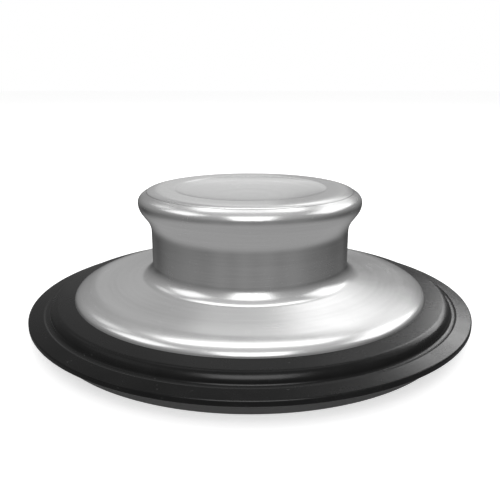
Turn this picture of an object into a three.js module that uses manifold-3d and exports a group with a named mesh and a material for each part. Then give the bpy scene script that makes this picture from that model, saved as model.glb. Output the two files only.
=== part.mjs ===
// Sink-drain stopper for a food-waste disposer: a hollow steel knob and flange, clamped by one
// central screw over a stepped rubber seal and a ribbed plug ring that drops into the drain's throat.
// Millimetres, +Z up. The origin is on the stopper's axis, in the plane that it stands on.
import * as THREE from 'three';
import { mergeVertices } from 'three/addons/utils/BufferGeometryUtils.js';
import Module from 'manifold-3d';

const wasm = await Module();
wasm.setup();

// ---------------------------------------------------------------- driving dimensions
const LIP_RADIUS = 43.0; // over the rubber lip: a 3-3/8 in stopper for a 3-1/2 in drain
const FLANGE_RADIUS = 34.47; // edge of the steel flange
const NECK_RADIUS = 19.36;
const BULGE_RADIUS = 21.75; // widest ring of the knob
const SEAM = { radius: 20.02, z: 26.25 }; // where the top disc meets the rolled mouth
const TOP_Z = 26.66; // overall height
const PLUG_RADIUS = 39.6; // plug ring, a loose fit in the drain's throat

const SHEET = 0.8; // steel of the knob and flange
const CAP_SHEET = 0.6; // steel of the top disc
const GAP = 0.1; // between parts that touch
const LARGE_SIDES = 48; // facets round a large part
const SMALL_SIDES = 24; // facets round the fasteners

const RETAINER_TOP_Z = 2.95;
const SEAL_BOTTOM_Z = 3.1;
const LIP_BOTTOM_Z = 3.3; // the lip's underside, which seats in the drain
const SEAL_TOP_Z = 6.3;
const HEM_Z = 6.45; // lower edge of the steel flange, resting on the seal
const CORE_BOTTOM_Z = 6.5;
const BOSS_RADIUS = 9.6; // centring boss of the plug ring, inside the seal
const SCREW_RADIUS = 2.5; // M5
const CLEAR_HOLE_RADIUS = 2.9;

// ---------------------------------------------------------------- materials
const finish = (color, roughness, metalness) =>
  new THREE.MeshStandardMaterial({ color, roughness, metalness });
const satinSteel = finish(0xc4c4c4, 0.3, 1.0);
const plainSteel = finish(0xa8a8a8, 0.35, 1.0);
const blackRubber = finish(0x242424, 0.45, 0.0);
const greyPlastic = finish(0x424242, 0.5, 0.0);
const whitePlastic = finish(0xd8d6ce, 0.5, 0.0);
const brass = finish(0xc9a652, 0.35, 1.0);

// ---------------------------------------------------------------- helpers
// A ring or disc turned about Z from a closed outline of [radius, z] points, in either direction.
function turned(outline, sides = LARGE_SIDES) {
  const points = outline.map((p) => new THREE.Vector2(p[0] ?? p.x, p[1] ?? p.y));
  const anticlockwise = THREE.ShapeUtils.isClockWise(points) ? points.reverse() : points;
  anticlockwise.push(anticlockwise[0].clone());
  return new THREE.LatheGeometry(anticlockwise, sides).rotateX(Math.PI / 2);
}

function tube(innerRadius, outerRadius, low, high, sides = SMALL_SIDES) {
  return turned(
    [
      [innerRadius, low],
      [outerRadius, low],
      [outerRadius, high],
      [innerRadius, high],
    ],
    sides,
  );
}

const disc = (radius, low, high, sides) => tube(0, radius, low, high, sides);

// The same line moved sideways by distance, to the left of its direction.
function offsetLine(points, distance) {
  return points.map((point, i) => {
    const before = points[Math.max(i - 1, 0)];
    const after = points[Math.min(i + 1, points.length - 1)];
    const along = after.clone().sub(before).normalize();
    return new THREE.Vector2(point.x - along.y * distance, point.y + along.x * distance);
  });
}

function solid(geometry) {
  const bare = geometry.clone();
  bare.deleteAttribute('normal');
  bare.deleteAttribute('uv');
  const merged = mergeVertices(bare, 1e-4);
  return new wasm.Manifold(
    new wasm.Mesh({
      numProp: 3,
      vertProperties: merged.attributes.position.array,
      triVerts: new Uint32Array(merged.index.array),
    }),
  );
}

function geometryOf(manifold) {
  const mesh = manifold.getMesh();
  return new THREE.BufferGeometry()
    .setAttribute('position', new THREE.BufferAttribute(mesh.vertProperties, 3))
    .setIndex(new THREE.BufferAttribute(mesh.triVerts, 1));
}

// Radial ribs as one list of solids: boxes from one radius to another, between two heights.
function ribs(count, thickness, inner, outer, low, high) {
  return Array.from({ length: count }, (_, i) =>
    solid(
      new THREE.BoxGeometry(outer - inner, thickness, high - low)
        .translate((inner + outer) / 2, 0, (low + high) / 2)
        .rotateZ(((i + 0.5) * 2 * Math.PI) / count),
    ),
  );
}

const joined = (first, others) => others.reduce((sum, next) => sum.add(next), first);

// ---------------------------------------------------------------- knob and flange
const SHOULDER_END = { radius: 30.5, z: 8.4 }; // where the flange's rolled edge runs into its cone
const CONE_SLOPE = 0.137; // radians
const FILLET = 2.8; // between the flange and the neck
const NECK_BOTTOM_Z = 12.37;
const NECK_TOP_Z = 18.4;
const BULGE_Z = 24.2;
const MOUTH = { radius: 20.14, z: 26.2 }; // the shell's rolled-in mouth, round the cap

// Drawn from one sheet: rolled edge, gently sloping flange, fillet, straight neck and rolled mouth.
function knobShell() {
  const fillet = { x: NECK_RADIUS + FILLET, from: -Math.PI / 2 - CONE_SLOPE, to: -Math.PI };
  const line = new THREE.Path();
  line.moveTo(FLANGE_RADIUS, HEM_Z);
  line.bezierCurveTo(FLANGE_RADIUS, 7.39, 33.07, 8.03, SHOULDER_END.radius, SHOULDER_END.z);
  line.absarc(fillet.x, NECK_BOTTOM_Z, FILLET, fillet.from, fillet.to, true);
  line.lineTo(NECK_RADIUS, NECK_TOP_Z);
  line.bezierCurveTo(NECK_RADIUS, 21.4, BULGE_RADIUS, 21.9, BULGE_RADIUS, BULGE_Z);
  line.bezierCurveTo(BULGE_RADIUS, 25.4, 20.76, 25.75, MOUTH.radius, MOUTH.z);
  const outside = line.getPoints(4);
  const inside = offsetLine(outside, SHEET);
  inside[0].set(FLANGE_RADIUS - SHEET, HEM_Z);
  inside[inside.length - 1].set(MOUTH.radius, MOUTH.z - 1);
  return turned([...outside, ...inside.reverse()]);
}

// Dished disc set in the shell's mouth, with a skirt pressed down inside it.
function knobCap() {
  const skirt = { outer: 19.9, inner: 19.3, bottom: 23.4 };
  const dish = { rim: 14.4, edgeZ: 26.45, depth: 1.7 };
  const top = new THREE.Path();
  top.moveTo(SEAM.radius, SEAM.z);
  top.bezierCurveTo(19.2, TOP_Z, 18.2, TOP_Z, 17.0, TOP_Z);
  top.lineTo(15.2, TOP_Z);
  top.quadraticCurveTo(14.8, TOP_Z, dish.rim, dish.edgeZ);
  top.bezierCurveTo(11.5, 25.6, 6, TOP_Z - dish.depth, 0, TOP_Z - dish.depth);
  const upper = top.getPoints(4);
  const lower = upper
    .filter((p) => p.x < skirt.inner)
    .map((p) => new THREE.Vector2(p.x, p.y - CAP_SHEET))
    .reverse();
  return turned([
    ...upper,
    ...lower,
    [skirt.inner, TOP_Z - 1.3],
    [skirt.inner, skirt.bottom],
    [skirt.outer, skirt.bottom],
    [skirt.outer, TOP_Z - 1.5],
    [SEAM.radius, TOP_Z - 1.1],
  ]);
}

// Moulded core: backs the neck and the flange, and carries the brass insert in its central boss.
function knobCore() {
  const wall = NECK_RADIUS - SHEET - 0.3;
  const pocket = { inner: 7.0, outer: wall - 1.8, top: 21.4 };
  const bore = { radius: 4.2, top: 17.0 };
  const body = solid(
    turned([
      [0, CORE_BOTTOM_Z],
      [31.0, CORE_BOTTOM_Z],
      [31.0, 6.9],
      [30.0, 7.2],
      [23.0, 8.0],
      [20.4, 8.8],
      [18.9, 10.4],
      [wall, 12.4],
      [wall, 21.6],
      [wall - 0.8, 23.3],
      [0, 23.3],
    ]),
  );
  const below = CORE_BOTTOM_Z - 1;
  const hollow = body.subtract(solid(tube(pocket.inner, pocket.outer, below, pocket.top)));
  const stiff = joined(
    hollow,
    ribs(6, 1.6, pocket.inner - 0.5, pocket.outer + 0.5, CORE_BOTTOM_Z + 1, pocket.top + 0.5),
  );
  return geometryOf(stiff.subtract(solid(disc(bore.radius, below, bore.top))));
}

// Brass insert for the screw, with two retaining grooves.
function threadedInsert() {
  const radius = 4.1;
  const groove = 3.7;
  const [low, high] = [6.9, 15.5];
  const steps = [low + 2.2, low + 3.2, low + 5.4, low + 6.4];
  return turned(
    [
      [SCREW_RADIUS + GAP, low],
      [radius, low],
      [radius, steps[0]],
      [groove, steps[0]],
      [groove, steps[1]],
      [radius, steps[1]],
      [radius, steps[2]],
      [groove, steps[2]],
      [groove, steps[3]],
      [radius, steps[3]],
      [radius, high],
      [SCREW_RADIUS + GAP, high],
    ],
    SMALL_SIDES,
  );
}

// ---------------------------------------------------------------- seal
// Rubber disc: a raised step beside the flange, a groove, and a thin lip that seals on the drain.
function rubberSeal() {
  const step = { radius: 39.15, rounding: 1.5, z: 6.2 };
  const lip = { root: 40.25, topZ: 4.2, rounding: 0.3 };
  const groove = { outer: 39.95, z: 4.4, fillet: 0.45 };
  const web = { inner: BOSS_RADIUS + 0.3, outer: PLUG_RADIUS + 0.5 };
  const line = new THREE.Path();
  line.moveTo(web.inner, SEAL_BOTTOM_Z);
  line.lineTo(web.outer, SEAL_BOTTOM_Z);
  line.lineTo(web.outer, LIP_BOTTOM_Z);
  line.lineTo(LIP_RADIUS - lip.rounding, LIP_BOTTOM_Z);
  line.lineTo(LIP_RADIUS, LIP_BOTTOM_Z + lip.rounding);
  line.lineTo(LIP_RADIUS, lip.topZ - lip.rounding);
  line.lineTo(LIP_RADIUS - lip.rounding, lip.topZ);
  line.lineTo(lip.root, groove.z + 0.15);
  line.lineTo(groove.outer, groove.z);
  line.lineTo(step.radius + groove.fillet, groove.z);
  line.quadraticCurveTo(step.radius, groove.z, step.radius, groove.z + groove.fillet);
  line.absarc(step.radius - step.rounding, step.z - step.rounding, step.rounding, 0, Math.PI / 2, false);
  line.lineTo(FLANGE_RADIUS + 0.3, SEAL_TOP_Z);
  line.lineTo(web.inner, SEAL_TOP_Z);
  return turned(line.getPoints(3));
}

// ---------------------------------------------------------------- plug ring
const RECESS = { radius: 6.1, top: 5.0 }; // takes the washers and the screw's head

// Moulded plate under the seal: rim, ribs, and a boss that passes up through the seal.
function plugRing() {
  const pocket = { inner: 8.6, outer: PLUG_RADIUS - 2.2, top: 1.4 };
  const body = solid(
    turned([
      [0, 0],
      [PLUG_RADIUS, 0],
      [PLUG_RADIUS, RETAINER_TOP_Z - 0.4],
      [PLUG_RADIUS - 0.4, RETAINER_TOP_Z],
      [BOSS_RADIUS, RETAINER_TOP_Z],
      [BOSS_RADIUS, SEAL_TOP_Z],
      [0, SEAL_TOP_Z],
    ]),
  );
  const plate = body.subtract(solid(tube(pocket.inner, pocket.outer, -1, pocket.top, LARGE_SIDES)));
  const ribbed = joined(
    plate,
    ribs(8, 1.6, pocket.inner - 0.5, pocket.outer + 0.5, 0.3, pocket.top + 0.3),
  );
  return geometryOf(
    ribbed
      .subtract(solid(disc(RECESS.radius, -1, RECESS.top)))
      .subtract(solid(disc(CLEAR_HOLE_RADIUS, -1, SEAL_TOP_Z + 1))),
  );
}

// ---------------------------------------------------------------- fasteners, from the recess down
const SEALING_WASHER = { low: 4.2, high: RECESS.top - GAP, radius: 5.4 };
const FLAT_WASHER = { low: 3.4, high: SEALING_WASHER.low - GAP, radius: 5.6 };
const SPLIT_WASHER = { low: 2.5, high: FLAT_WASHER.low - GAP, radius: 4.5 };
const SCREW_HEAD = { low: 0.4, high: SPLIT_WASHER.low - GAP, radius: 4.9 };
const SCREW_END_Z = 14.5;

const washer = ({ radius, low, high }) => tube(SCREW_RADIUS + 0.2, radius, low, high);

// Spring washer: a ring cut through by a slanting slot.
function splitWasher() {
  const { radius, low, high } = SPLIT_WASHER;
  const slot = new THREE.BoxGeometry(radius, 0.9, 4)
    .rotateX(0.5)
    .translate(radius / 2 + 1.2, 0, (low + high) / 2);
  return geometryOf(solid(washer(SPLIT_WASHER)).subtract(solid(slot)));
}

// Pan-head screw with a cross recess.
function retainingScrew() {
  const { low, high, radius } = SCREW_HEAD;
  const line = new THREE.Path();
  line.moveTo(0, low);
  line.lineTo(radius - 1.4, low);
  line.quadraticCurveTo(radius, low, radius, high - 0.5);
  line.lineTo(radius, high);
  line.lineTo(SCREW_RADIUS, high);
  line.lineTo(SCREW_RADIUS, SCREW_END_Z - 0.8);
  line.lineTo(SCREW_RADIUS - 0.8, SCREW_END_Z);
  line.lineTo(0, SCREW_END_Z);
  const slot = (turn) =>
    solid(
      new THREE.BoxGeometry(5.0, 1.1, 1.3)
        .rotateZ(turn)
        .translate(0, 0, low + 0.5),
    );
  const blank = solid(turned(line.getPoints(4), SMALL_SIDES));
  return geometryOf(blank.subtract(slot(0)).subtract(slot(Math.PI / 2)));
}

// ---------------------------------------------------------------- assembly
const stopper = new THREE.Group();

function add(name, geometry, material) {
  const mesh = new THREE.Mesh(geometry, material);
  mesh.name = name;
  stopper.add(mesh);
}

add('knob_cap', knobCap(), satinSteel);
add('knob_and_flange_shell', knobShell(), satinSteel);
add('knob_core', knobCore(), whitePlastic);
add('threaded_insert', threadedInsert(), brass);
add('rubber_seal', rubberSeal(), blackRubber);
add('plug_ring', plugRing(), greyPlastic);
add('sealing_washer', washer(SEALING_WASHER), blackRubber);
add('flat_washer', washer(FLAT_WASHER), plainSteel);
add('split_washer', splitWasher(), plainSteel);
add('retaining_screw', retainingScrew(), plainSteel);

export default stopper;
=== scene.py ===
"""Studio picture of a sink-drain stopper: a steel knob and flange over a stepped rubber seal.

Metres, +Z up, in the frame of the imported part. Radii and heights in the outlines are in millimetres.
"""

import math

import bmesh
import bpy
from mathutils import Matrix, Vector

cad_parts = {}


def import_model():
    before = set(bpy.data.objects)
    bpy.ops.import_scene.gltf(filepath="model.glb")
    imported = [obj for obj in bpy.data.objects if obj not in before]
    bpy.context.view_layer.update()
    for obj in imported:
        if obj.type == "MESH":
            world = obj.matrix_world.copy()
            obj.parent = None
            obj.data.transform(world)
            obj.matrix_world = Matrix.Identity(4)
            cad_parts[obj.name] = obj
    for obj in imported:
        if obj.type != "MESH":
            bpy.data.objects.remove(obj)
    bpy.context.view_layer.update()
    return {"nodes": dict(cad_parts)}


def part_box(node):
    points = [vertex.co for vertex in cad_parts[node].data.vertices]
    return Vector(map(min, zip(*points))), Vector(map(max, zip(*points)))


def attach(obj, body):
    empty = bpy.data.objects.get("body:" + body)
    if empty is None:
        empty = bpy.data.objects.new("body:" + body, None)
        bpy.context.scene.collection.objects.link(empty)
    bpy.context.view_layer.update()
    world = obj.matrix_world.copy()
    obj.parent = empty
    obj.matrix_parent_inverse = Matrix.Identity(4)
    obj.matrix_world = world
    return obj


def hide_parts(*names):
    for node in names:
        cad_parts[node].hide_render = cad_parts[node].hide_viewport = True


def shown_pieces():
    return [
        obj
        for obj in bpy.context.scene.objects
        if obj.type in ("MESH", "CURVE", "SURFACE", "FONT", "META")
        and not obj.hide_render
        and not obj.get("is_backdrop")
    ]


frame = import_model()

MM = 0.001
SIDES = 288  # facets round a turned piece
ARC_STEP = math.radians(6)  # longest step along an outline's arc
SHARP_ANGLE = math.radians(35)  # edges that turn by more than this stay sharp


# ---------------------------------------------------------------- sizes from the frame, in millimetres
def reach(node):
    """Outer radius, lowest and highest point of a round CAD node."""
    low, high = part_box(node)
    return high.x / MM, low.z / MM, high.z / MM


SEAM_RADIUS, SKIRT_Z, TOP_Z = reach("knob_cap")
FLANGE_RADIUS, HEM_Z, MOUTH_Z = reach("knob_and_flange_shell")
LIP_RADIUS, SEAL_LOW, SEAL_TOP = reach("rubber_seal")
PLUG_RADIUS, PLUG_LOW, PLUG_TOP = reach("plug_ring")
BULGE_RADIUS = 21.75  # widest ring of the knob
NECK_RADIUS = 19.36
SHEET = 0.8  # steel of the knob and flange
CAP_SHEET = 0.6  # steel of the top disc
BOSS_RADIUS = 9.6  # centring boss of the plug ring, inside the seal


# ---------------------------------------------------------------- outlines
def rounded(corners):
    """An outline from (radius, z, rounding) corners: each one with a rounding becomes an arc."""
    points = []
    count = len(corners)
    for i, (x, z, rounding) in enumerate(corners):
        here = Vector((x, z))
        if not rounding:
            points.append(here)
            continue
        before = (Vector(corners[i - 1][:2]) - here).normalized()
        after = (Vector(corners[(i + 1) % count][:2]) - here).normalized()
        half = before.angle(after) / 2
        centre = here + (before + after).normalized() * (rounding / math.sin(half))
        start = here + before * (rounding / math.tan(half)) - centre
        sweep = start.angle_signed(here + after * (rounding / math.tan(half)) - centre)
        steps = max(2, math.ceil(abs(sweep) / ARC_STEP))
        for k in range(steps + 1):
            turn = -sweep * k / steps
            cos, sin = math.cos(turn), math.sin(turn)
            spoke = Vector((start.x * cos - start.y * sin, start.x * sin + start.y * cos))
            points.append(centre + spoke)
    return points


def arc(centre, radius, start, end):
    """Points on an arc, from start to end in degrees."""
    steps = max(2, math.ceil(abs(math.radians(end - start)) / ARC_STEP))
    turns = [math.radians(start + (end - start) * k / steps) for k in range(steps + 1)]
    return [Vector((centre[0] + radius * math.cos(t), centre[1] + radius * math.sin(t))) for t in turns]


def bezier(a, b, c, d, steps=24):
    """Points on a cubic curve from a to d."""
    a, b, c, d = map(Vector, (a, b, c, d))
    curve = []
    for k in range(steps + 1):
        t = k / steps
        s = 1 - t
        curve.append(a * s**3 + b * 3 * s * s * t + c * 3 * s * t * t + d * t**3)
    return curve


def offset(points, distance):
    """The same line moved sideways, to the left of its direction."""
    moved = []
    for i, point in enumerate(points):
        along = (points[min(i + 1, len(points) - 1)] - points[max(i - 1, 0)]).normalized()
        moved.append(point + Vector((-along.y, along.x)) * distance)
    return moved


def supported(outline, hold=0.05):
    """Adds a point just inside each end of a long stretch, so that smooth shading keeps it flat."""
    long_stretch = 8 * hold
    points = []
    for i, here in enumerate(outline):
        points.append(here)
        ahead = outline[(i + 1) % len(outline)] - here
        if ahead.length > long_stretch:
            inset = ahead.normalized() * hold
            points += [here + inset, here + ahead - inset]
    return points


# ---------------------------------------------------------------- meshes
def turned(name, outline):
    """A closed outline of (radius, z) millimetres, turned about Z into one closed mesh.

    Points on the axis become one vertex each, so the faces there are triangles.
    """
    same_point, on_axis = 1e-4, 1e-6
    outline = supported([p for i, p in enumerate(outline) if (p - outline[i - 1]).length > same_point])
    mesh = bmesh.new()
    rings = []
    for radius, z in outline:
        if radius < on_axis:
            rings.append([mesh.verts.new((0, 0, z * MM))] * SIDES)
            continue
        ring = []
        for k in range(SIDES):
            turn = 2 * math.pi * k / SIDES
            x, y = radius * MM * math.cos(turn), radius * MM * math.sin(turn)
            ring.append(mesh.verts.new((x, y, z * MM)))
        rings.append(ring)
    for i, ring in enumerate(rings):
        after = rings[(i + 1) % len(rings)]
        for k in range(SIDES):
            ahead = (k + 1) % SIDES
            corners = list(dict.fromkeys([ring[k], ring[ahead], after[ahead], after[k]]))
            if len(corners) > 2:
                mesh.faces.new(corners)
    bmesh.ops.recalc_face_normals(mesh, faces=mesh.faces)
    return made(name, mesh)


def made(name, mesh):
    """The bmesh as a smooth-shaded object with its sharp edges kept."""
    data = bpy.data.meshes.new(name)
    mesh.to_mesh(data)
    mesh.free()
    for face in data.polygons:
        face.use_smooth = True
    data.set_sharp_from_angle(angle=SHARP_ANGLE)
    piece = bpy.data.objects.new(name, data)
    bpy.context.scene.collection.objects.link(piece)
    return piece


def finished(piece, node, material):
    """Puts the piece in the CAD node's place."""
    piece.data.materials.clear()
    piece.data.materials.append(material)
    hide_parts(node)
    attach(piece, "root")
    return piece


# ---------------------------------------------------------------- materials
class Nodes:
    """Short words for building a node tree."""

    def __init__(self, name):
        self.material = bpy.data.materials.new(name)
        self.material.use_nodes = True
        self.tree = self.material.node_tree
        self.shader = self.tree.nodes["Principled BSDF"]

    def add(self, kind, inputs=(), **settings):
        node = self.tree.nodes.new("ShaderNode" + kind)
        for key, value in settings.items():
            setattr(node, key, value)
        for socket, value in dict(inputs).items():
            self.put(node, socket, value)
        return node

    def put(self, node, socket, value):
        if isinstance(value, bpy.types.NodeSocket):
            self.tree.links.new(value, node.inputs[socket])
        else:
            node.inputs[socket].default_value = value

    def math(self, operation, *values):
        node = self.add("Math", enumerate(values), operation=operation)
        return node.outputs[0]

    def noise(self, vector, scale, detail=2.0, roughness=0.5):
        inputs = {"Vector": vector, "Scale": scale, "Detail": detail, "Roughness": roughness}
        return self.add("TexNoise", inputs).outputs["Fac"]

    def between(self, value, low, high, from_low=0.0, from_high=1.0):
        """Maps a 0 to 1 value to low to high."""
        inputs = {"Value": value, "From Min": from_low, "From Max": from_high, "To Min": low, "To Max": high}
        return self.add("MapRange", inputs).outputs["Result"]

    def bump(self, height, distance, strength=1.0, below=None):
        inputs = {"Height": height, "Distance": distance, "Strength": strength}
        if below is not None:
            inputs["Normal"] = below
        return self.add("Bump", inputs).outputs["Normal"]

    def shade(self, **values):
        for key, value in values.items():
            self.put(self.shader, key.replace("_", " "), value)
        return self.material

    def place(self):
        return self.add("TexCoord").outputs["Object"]

    def rings(self):
        """Coordinates that run with the turning: radius, height, and a slow change round the part."""
        x, y, z = self.add("SeparateXYZ", {"Vector": self.place()}).outputs
        squares = self.math("ADD", self.math("MULTIPLY", x, x), self.math("MULTIPLY", y, y))
        radius = self.math("SQRT", squares)
        slow = 0.02
        inputs = {
            "X": self.math("ADD", radius, self.math("MULTIPLY", x, slow)),
            "Y": self.math("MULTIPLY", y, slow),
            "Z": z,
        }
        return self.add("CombineXYZ", inputs).outputs["Vector"]


def tone(value, warmth=0.0):
    """A grey, or with warmth a slightly yellow one."""
    return (value * (1 + warmth), value, value * (1 - warmth), 1.0)


def satin_steel():
    """Stainless brushed in fine rings, with soft smears and a few hairline scratches from handling."""
    n = Nodes("satin_steel")
    rings = n.rings()
    place = n.place()
    fine = n.noise(rings, 7000, detail=3, roughness=0.7)
    bands = n.noise(rings, 900, detail=2)
    smears = n.noise(place, 130, detail=4, roughness=0.6)
    stretched = n.add("Mapping", {"Vector": place, "Scale": (9000, 350, 2500)}).outputs[0]
    hair = n.noise(stretched, 1, detail=2)
    scratches = n.between(hair, 0.0, 1.0, 0.70, 0.78)
    rough = n.math("ADD", n.between(fine, 0.2, 0.28), n.between(smears, -0.02, 0.03, 0.3, 0.7))
    rough = n.math("ADD", rough, n.math("MULTIPLY", scratches, 0.05))
    streaks = n.math("ADD", n.math("MULTIPLY", fine, 0.5), n.math("MULTIPLY", bands, 0.5))
    light = n.between(streaks, 0, 1, 0.35, 0.65)
    colour = n.add("MixRGB", {"Fac": light, "Color1": tone(0.69), "Color2": tone(0.75)}).outputs["Color"]
    return n.shade(
        Base_Color=colour,
        Metallic=1.0,
        Roughness=rough,
        Normal=n.bump(scratches, 0.000004, 0.15, n.bump(fine, 0.000004, 0.3)),
    )


def plain_steel():
    """The fasteners' duller steel."""
    n = Nodes("plain_steel")
    place = n.place()
    fine = n.noise(n.rings(), 5000, detail=3)
    cloud = n.noise(place, 500, detail=4)
    colour = n.add("MixRGB", {"Fac": cloud, "Color1": tone(0.5), "Color2": tone(0.62)}).outputs["Color"]
    return n.shade(
        Base_Color=colour,
        Metallic=1.0,
        Roughness=n.between(cloud, 0.26, 0.42, 0.3, 0.7),
        Normal=n.bump(fine, 0.00001, 0.3),
    )


def turned_brass():
    n = Nodes("turned_brass")
    fine = n.noise(n.rings(), 4000, detail=3)
    cloud = n.noise(n.place(), 600, detail=4)
    dull, bright = (0.55, 0.38, 0.14, 1.0), (0.72, 0.52, 0.22, 1.0)
    colour = n.add("MixRGB", {"Fac": cloud, "Color1": dull, "Color2": bright}).outputs["Color"]
    return n.shade(
        Base_Color=colour,
        Metallic=1.0,
        Roughness=n.between(cloud, 0.25, 0.42, 0.3, 0.7),
        Normal=n.bump(fine, 0.00001, 0.3),
    )


def black_rubber():
    """Moulded black rubber: a fine grain, faint bloom in patches and a few specks.

    The index of refraction is lower than real rubber's, to hold down its glare at a low angle.
    """
    n = Nodes("black_rubber")
    place = n.place()
    grain = n.noise(place, 3800, detail=3)
    cloud = n.noise(place, 120, detail=4, roughness=0.6)
    specks = n.between(n.noise(place, 1500, detail=1), 0, 1, 0.74, 0.8)
    patchy = n.add("MixRGB", {"Fac": cloud, "Color1": tone(0.002), "Color2": tone(0.005)}).outputs["Color"]
    colour = n.add("MixRGB", {"Fac": specks, "Color1": patchy, "Color2": tone(0.012)}).outputs["Color"]
    rough = n.math("ADD", n.between(cloud, 0.22, 0.30, 0.3, 0.7), n.between(grain, -0.03, 0.03))
    return n.shade(
        Base_Color=colour,
        Roughness=rough,
        IOR=1.16,
        Normal=n.bump(grain, 0.00002, 0.25),
    )


def moulded_plastic(name, low, high, warmth=0.0):
    """Spark-eroded moulding texture with slightly uneven colour."""
    n = Nodes(name)
    place = n.place()
    grain = n.noise(place, 3000, detail=4, roughness=0.65)
    cloud = n.noise(place, 90, detail=3)
    colours = {"Fac": cloud, "Color1": tone(low, warmth), "Color2": tone(high, warmth)}
    colour = n.add("MixRGB", colours).outputs["Color"]
    return n.shade(
        Base_Color=colour,
        Roughness=n.between(cloud, 0.45, 0.58, 0.3, 0.7),
        Normal=n.bump(grain, 0.00004, 0.4),
    )


# ---------------------------------------------------------------- the knob
def knob_shell():
    """Drawn sheet: rolled edge, gently sloping flange, fillet, straight neck and rolled mouth."""
    cone_slope = 0.137  # radians
    fillet = 2.8
    neck_low, neck_high = 12.37, 18.4
    shoulder = (30.5, 8.4)  # where the flange's rolled edge runs into its slope
    slope_end = (22.2, 9.53)
    bulge = (BULGE_RADIUS, 24.2)
    mouth = SEAM_RADIUS + 0.06
    line = bezier((FLANGE_RADIUS, HEM_Z), (FLANGE_RADIUS, 7.39), (33.07, 8.03), shoulder)
    line += bezier(shoulder, (27.5, 8.7), (24.7, 9.12), slope_end)[1:]
    line += arc((NECK_RADIUS + fillet, neck_low), fillet, 270 - math.degrees(cone_slope), 180)
    line += bezier((NECK_RADIUS, neck_high), (NECK_RADIUS, 21.4), (BULGE_RADIUS, 21.9), bulge)
    line += bezier(bulge, (BULGE_RADIUS, 25.4), (20.76, 25.75), (mouth, MOUTH_Z))[1:]
    inside = offset(line, SHEET)
    inside[0] = Vector((FLANGE_RADIUS - SHEET, HEM_Z))
    inside[-1] = Vector((mouth, MOUTH_Z - 1))
    return turned("knob_shell_drawn", line + inside[::-1])


def knob_cap():
    """Dished disc in the shell's mouth, with a skirt pressed down inside it."""
    seam_z = MOUTH_Z + 0.05
    dish_edge = (14.4, 26.45)
    dish_bottom_z = TOP_Z - 1.7
    skirt_outer, skirt_inner = 19.9, 19.3
    band = bezier((SEAM_RADIUS, seam_z), (19.2, TOP_Z), (18.2, TOP_Z), (17.0, TOP_Z))
    edge = bezier((15.2, TOP_Z), (14.9, TOP_Z), (14.7, 26.58), dish_edge, 8)
    dish = bezier(dish_edge, (11.5, 25.6), (6, dish_bottom_z), (0, dish_bottom_z), 32)[1:]
    top = band + edge + dish
    under = [Vector((p.x, p.y - CAP_SHEET)) for p in top[::-1] if p.x < skirt_inner]
    skirt = [
        (skirt_inner, TOP_Z - 1.3),
        (skirt_inner, SKIRT_Z),
        (skirt_outer, SKIRT_Z),
        (skirt_outer, TOP_Z - 1.5),
        (SEAM_RADIUS, TOP_Z - 1.1),
    ]
    return turned("knob_cap_dished", top + under + [Vector(p) for p in skirt])


# ---------------------------------------------------------------- the seal and the plug ring
def seal():
    """Rubber disc: a raised step beside the flange, a groove, and a thin wide lip."""
    web_inner, web_outer = BOSS_RADIUS + 0.3, PLUG_RADIUS + 0.5
    step_radius, step_z = 39.15, 6.2
    groove_outer, groove_z = 39.95, 4.4
    lip_root, lip_low, lip_top = 40.25, 3.15, 4.2
    corners = [
        (web_inner, SEAL_LOW, 0.15),
        (web_outer, SEAL_LOW, 0.1),
        (web_outer, lip_low, 0.05),
        (LIP_RADIUS, lip_low, 0.25),
        (LIP_RADIUS, lip_top, 0.3),
        (lip_root, groove_z + 0.15, 0.2),
        (groove_outer, groove_z, 0.2),
        (step_radius, groove_z, 0.45),
        (step_radius, step_z, 1.5),
        (FLANGE_RADIUS, SEAL_TOP, 0),
        (web_inner, SEAL_TOP, 0.15),
    ]
    return turned("seal_moulded", rounded(corners))


def box_at(mesh, low, high, turn):
    """Adds to the bmesh a box between two corners in millimetres, turned about Z."""
    corners = bmesh.ops.create_cube(mesh, size=1)["verts"]
    for corner in corners:
        for axis in range(3):
            corner.co[axis] = (low[axis] if corner.co[axis] < 0 else high[axis]) * MM
    bmesh.ops.rotate(mesh, verts=corners, cent=(0, 0, 0), matrix=Matrix.Rotation(turn, 3, "Z"))


def joined(piece, mesh):
    """The piece with the bmesh merged into it as one solid."""
    addition = made("addition", mesh)
    modifier = piece.modifiers.new("join", "BOOLEAN")
    modifier.object = addition
    modifier.operation = "UNION"
    modifier.solver = "EXACT"
    evaluated = piece.evaluated_get(bpy.context.evaluated_depsgraph_get())
    data = bpy.data.meshes.new_from_object(evaluated)
    piece.modifiers.clear()
    piece.data = data
    bpy.data.objects.remove(addition)
    data.set_sharp_from_angle(angle=SHARP_ANGLE)
    return piece


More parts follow.
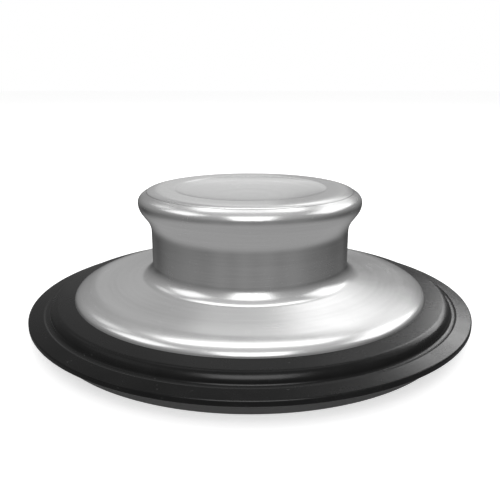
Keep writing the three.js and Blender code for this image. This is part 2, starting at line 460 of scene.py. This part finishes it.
def plug_ring():
    """The moulded plate under the seal: rim, ribs, recess for the screw, and centring boss."""
    bore = 2.9
    plate_z = 2.95
    rim_inner = PLUG_RADIUS - 2.2
    hub, hub_z = 8.6, PLUG_LOW + 0.2
    web_z = 1.4
    recess, recess_z = 6.1, 5.0
    corners = [
        (PLUG_RADIUS, PLUG_LOW, 0.3),
        (PLUG_RADIUS, plate_z, 0.4),
        (BOSS_RADIUS, plate_z, 0.2),
        (BOSS_RADIUS, PLUG_TOP, 0.3),
        (bore, PLUG_TOP, 0.15),
        (bore, recess_z, 0.1),
        (recess, recess_z, 0.2),
        (recess, hub_z, 0.2),
        (hub, hub_z, 0.3),
        (hub, web_z, 0.3),
        (rim_inner, web_z, 0.3),
        (rim_inner, PLUG_LOW, 0.3),
    ]
    ring = turned("plug_ring_moulded", rounded(corners))
    rib_count, rib_thickness, sunk = 8, 1.6, 0.5
    rib_low = (hub - sunk, -rib_thickness / 2, PLUG_LOW + 0.4)
    rib_high = (rim_inner + sunk, rib_thickness / 2, web_z + 0.3)
    ribs = bmesh.new()
    for i in range(rib_count):
        box_at(ribs, rib_low, rib_high, (i + 0.5) * 2 * math.pi / rib_count)
    return joined(ring, ribs)


# ---------------------------------------------------------------- assembly
steel = satin_steel()
rubber = black_rubber()
dark_plastic = moulded_plastic("grey_plastic", 0.05, 0.065)
white_plastic = moulded_plastic("white_plastic", 0.62, 0.7, 0.03)
fastener_steel = plain_steel()
brass = turned_brass()

finished(knob_shell(), "knob_and_flange_shell", steel)
finished(knob_cap(), "knob_cap", steel)
seal_piece = finished(seal(), "rubber_seal", rubber)
finished(plug_ring(), "plug_ring", dark_plastic)

for node, material in (
    ("knob_core", white_plastic),
    ("threaded_insert", brass),
    ("sealing_washer", rubber),
    ("flat_washer", fastener_steel),
    ("split_washer", fastener_steel),
    ("retaining_screw", fastener_steel),
):
    data = frame["nodes"][node].data
    data.materials.clear()
    data.materials.append(material)


# ---------------------------------------------------------------- studio
FIELD_OF_VIEW = math.radians(45)
CAMERA_PITCH = math.radians(15.394)
CAMERA_DISTANCE = 0.1215
TARGET_Z = 0.0138
LIGHT_TARGET_Z = 0.015
LIGHT_DISTANCE = 0.9


def floor():
    """A pale floor that is see-through from below, and left out of mirror-like reflections."""
    mesh = bmesh.new()
    bmesh.ops.create_grid(mesh, x_segments=1, y_segments=1, size=4)
    piece = made("floor", mesh)
    n = Nodes("pale_floor")
    n.shade(Base_Color=tone(0.9), Roughness=0.7, Emission_Color=tone(1.0), Emission_Strength=0.55)
    clear = n.add("BsdfTransparent").outputs["BSDF"]
    behind = n.add("NewGeometry").outputs["Backfacing"]
    mix = n.add("MixShader", {0: behind, 1: n.shader.outputs["BSDF"], 2: clear})
    n.tree.links.new(mix.outputs[0], n.tree.nodes["Material Output"].inputs["Surface"])
    piece.data.materials.append(n.material)
    piece.location.z = -0.05 * MM  # a hair below the object's underside
    piece.visible_glossy = False
    piece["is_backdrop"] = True


def camera():
    data = bpy.data.cameras.new("camera")
    data.sensor_width = 36
    data.lens = data.sensor_width / 2 / math.tan(FIELD_OF_VIEW / 2)
    data.clip_start = 0.01
    obj = bpy.data.objects.new("camera", data)
    back = CAMERA_DISTANCE * math.cos(CAMERA_PITCH)
    up = CAMERA_DISTANCE * math.sin(CAMERA_PITCH)
    obj.location = (0, -back, TARGET_Z + up)
    obj.rotation_euler = (math.pi / 2 - CAMERA_PITCH, 0, 0)
    bpy.context.scene.collection.objects.link(obj)
    bpy.context.scene.camera = obj


def softbox(name, azimuth, elevation, width, height, brightness, only=None):
    """An area light aimed at the knob, its place and size in degrees as the knob sees it.

    Azimuth 0 is in front and 90 on the right; brightness 1 is a white surface. With only, it lights
    just that piece.
    """
    across = 2 * LIGHT_DISTANCE * math.tan(math.radians(width) / 2)
    tall = 2 * LIGHT_DISTANCE * math.tan(math.radians(height) / 2)
    data = bpy.data.lights.new(name, "AREA")
    data.shape = "RECTANGLE"
    data.size, data.size_y = across, tall
    data.energy = brightness * math.pi * across * tall
    obj = bpy.data.objects.new(name, data)
    a, e = math.radians(azimuth), math.radians(elevation)
    towards = Vector((math.sin(a) * math.cos(e), -math.cos(a) * math.cos(e), math.sin(e)))
    obj.location = Vector((0, 0, LIGHT_TARGET_Z)) + towards * LIGHT_DISTANCE
    obj.rotation_mode = "QUATERNION"
    obj.rotation_quaternion = towards.to_track_quat("Z", "Y")
    obj.visible_camera = False
    bpy.context.scene.collection.objects.link(obj)
    if only is not None:
        lit = bpy.data.collections.new(name)
        lit.objects.link(only)
        obj.light_linking.receiver_collection = lit


def side_shade(tree, x, y, z):
    """Dims a band just under the horizon, more towards the back, with soft upright streaks in it."""
    band_z, band_falloff = -0.22, 3.3
    streak_count, streak_depth = 15.0, 0.12
    side_depth, back_depth = 0.36, 0.42

    def step(operation, a, b=0):
        node = tree.nodes.new("ShaderNodeMath")
        node.operation = operation
        for socket, value in zip(node.inputs, (a, b)):
            if isinstance(value, bpy.types.NodeSocket):
                tree.links.new(value, socket)
            else:
                socket.default_value = value
        return node.outputs[0]

    away = step("ABSOLUTE", step("ADD", z, -band_z))
    band = step("MAXIMUM", step("SUBTRACT", 1.0, step("MULTIPLY", away, band_falloff)))
    streaks = step("MULTIPLY", step("SINE", step("MULTIPLY", x, streak_count)), streak_depth)
    depth = step("ADD", step("ADD", step("MULTIPLY", y, back_depth), side_depth), streaks)
    return step("SUBTRACT", 1.0, step("MULTIPLY", band, depth))


def world():
    """White to the camera; to everything else a dim room, darkest near the horizon."""
    room = bpy.data.worlds.new("studio")
    bpy.context.scene.world = room
    room.use_nodes = True
    tree = room.node_tree
    coordinates = tree.nodes.new("ShaderNodeTexCoord")
    split = tree.nodes.new("ShaderNodeSeparateXYZ")
    tree.links.new(coordinates.outputs["Generated"], split.inputs[0])
    scale = tree.nodes.new("ShaderNodeMapRange")
    scale.inputs["From Min"].default_value = -1.0
    tree.links.new(split.outputs["Z"], scale.inputs["Value"])
    ramp = tree.nodes.new("ShaderNodeValToRGB")
    tree.links.new(scale.outputs["Result"], ramp.inputs["Fac"])
    lower = ((-0.6, 0.42), (-0.45, 0.38), (-0.28, 0.24))  # height from -1 to 1, and brightness
    upper = ((0.05, 0.25), (0.5, 0.42), (0.85, 0.5), (1.0, 0.7))
    stops = lower + upper
    elements = ramp.color_ramp.elements
    while len(elements) < len(stops):
        elements.new(0.5)
    for element, (height, value) in zip(elements, stops):
        element.position = (height + 1) / 2
        element.color = tone(value)
    shade = side_shade(tree, *split.outputs)
    dimmed = tree.nodes.new("ShaderNodeVectorMath")
    dimmed.operation = "SCALE"
    tree.links.new(ramp.outputs["Color"], dimmed.inputs[0])
    tree.links.new(shade, dimmed.inputs["Scale"])
    rays = tree.nodes.new("ShaderNodeLightPath")
    pick = tree.nodes.new("ShaderNodeMixRGB")
    tree.links.new(rays.outputs["Is Camera Ray"], pick.inputs["Fac"])
    tree.links.new(dimmed.outputs[0], pick.inputs["Color1"])
    pick.inputs["Color2"].default_value = tone(1.0)
    tree.links.new(pick.outputs["Color"], tree.nodes["Background"].inputs["Color"])


floor()
camera()
world()
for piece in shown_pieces():
    piece.visible_glossy = False  # the steel mirrors the studio, and no piece mirrors another
# Name, azimuth, elevation, width, height and brightness.
softbox("front_box", 2, 41, 36, 50, 1.6)
softbox("left_box", -86, 44, 34, 26, 1.1)
softbox("left_back_box", -130, 38, 12, 14, 0.7)
softbox("right_box", 110, 38, 44, 28, 1.15)
softbox("right_back_box", 148, 33, 40, 22, 0.7)
softbox("top_back_box", 180, 65, 44, 18, 1.7)
softbox("back_box", 174, 34, 26, 12, 0.45)
softbox("back_glow", 184, 15, 34, 30, 0.15)
softbox("back_fan", 184, 17, 14, 26, 0.2)
softbox("rubber_front", 0, 44, 40, 40, 15.0, only=seal_piece)
softbox("rubber_kicker", 140, 26, 34, 14, 9.0, only=seal_piece)
bpy.context.scene.view_settings.view_transform = "Standard"
